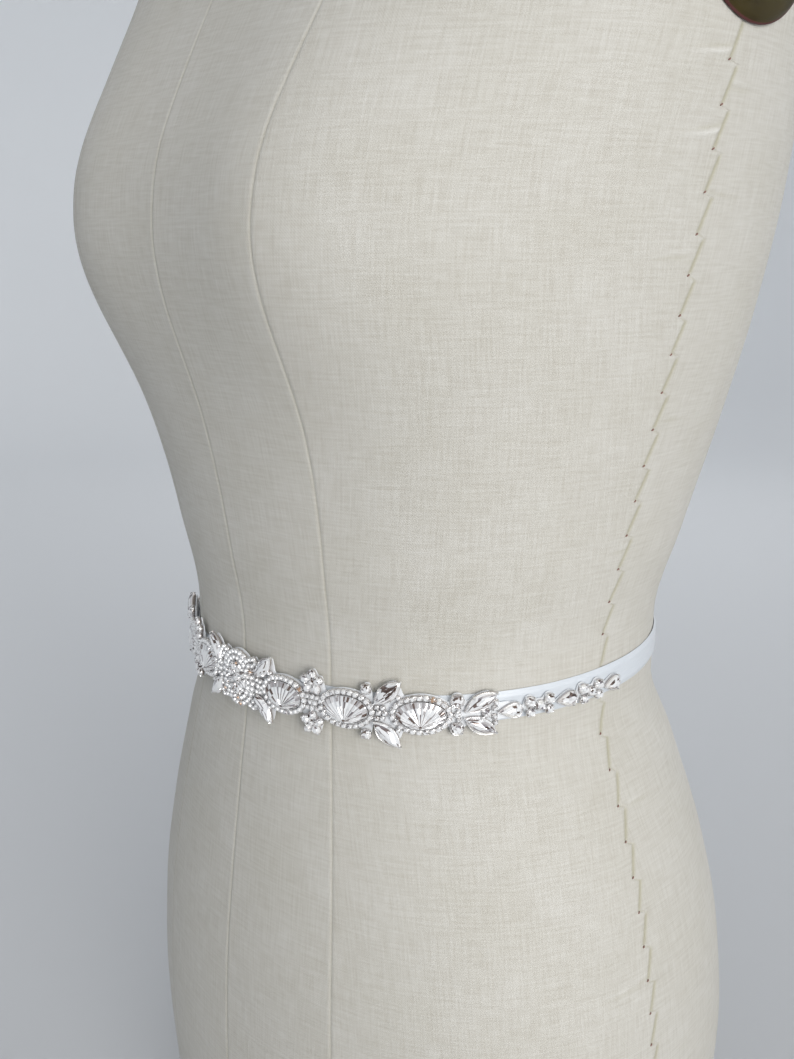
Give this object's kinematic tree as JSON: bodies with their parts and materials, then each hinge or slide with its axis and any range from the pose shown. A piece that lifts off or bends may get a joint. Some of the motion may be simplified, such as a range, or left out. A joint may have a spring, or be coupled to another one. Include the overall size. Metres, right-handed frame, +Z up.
{
  "type": "bridal sash on a dress form",
  "caption": "Narrow satin ribbon sash with a long crystal applique, worn round the waist of a linen-covered limbless dress form.",
  "frame": {"origin": "centre of the overall width and depth, on the flat underside of the form", "axes": "+Z up, the form faces -Y, and its left arm is towards +X"},
  "size_m": [0.3446, 0.2945, 0.79],
  "materials": {
    "linen": "plain-woven natural linen, matt",
    "arm_plate": "dark brown, satin",
    "satin": "double-faced ivory satin ribbon, soft sheen",
    "backing": "white felt-like backing, matt",
    "silver": "bright silver-plated metal",
    "crystal": "foil-backed cut crystal in silver cups"
  },
  "bodies": {
    "root": {"applique_backing": "backing", "centre_medallion": "crystal", "fan_setting_left_1": "silver", "fan_setting_left_2": "silver", "fan_setting_left_3": "silver", "fan_setting_right_1": "silver", "fan_setting_right_2": "silver", "fan_setting_right_3": "silver", "fan_stone_left_1": "crystal", "fan_stone_left_2": "crystal", "fan_stone_left_3": "crystal", "fan_stone_right_1": "crystal", "fan_stone_right_2": "crystal", "fan_stone_right_3": "crystal", "flower_left_lower": "crystal", "flower_left_upper": "crystal", "flower_right_lower": "crystal", "flower_right_upper": "crystal", "form_arm_plate_left": "arm_plate", "form_arm_plate_right": "arm_plate", "form_torso": "linen", "leaf_inner_left_lower": "crystal", "leaf_inner_left_upper": "crystal", "leaf_inner_right_lower": "crystal", "leaf_inner_right_upper": "crystal", "leaf_middle_left_lower": "crystal", "leaf_middle_left_upper": "crystal", "leaf_middle_right_lower": "crystal", "leaf_middle_right_upper": "crystal", "leaf_outer_left_lower": "crystal", "leaf_outer_left_upper": "crystal", "leaf_outer_right_lower": "crystal", "leaf_outer_right_upper": "crystal", "link_left_1": "crystal", "link_left_2": "crystal", "link_right_1": "crystal", "link_right_2": "crystal", "pear_left_1": "crystal", "pear_left_2": "crystal", "pear_left_3": "crystal", "pear_right_1": "crystal", "pear_right_2": "crystal", "pear_right_3": "crystal", "ribbon": "satin", "round_crook_left": "crystal", "round_crook_right": "crystal", "round_middle_left_lower": "crystal", "round_middle_left_upper": "crystal", "round_middle_right_lower": "crystal", "round_middle_right_upper": "crystal", "round_outer_left_lower": "crystal", "round_outer_left_upper": "crystal", "round_outer_right_lower": "crystal", "round_outer_right_upper": "crystal"}
  },
  "joints": []
}
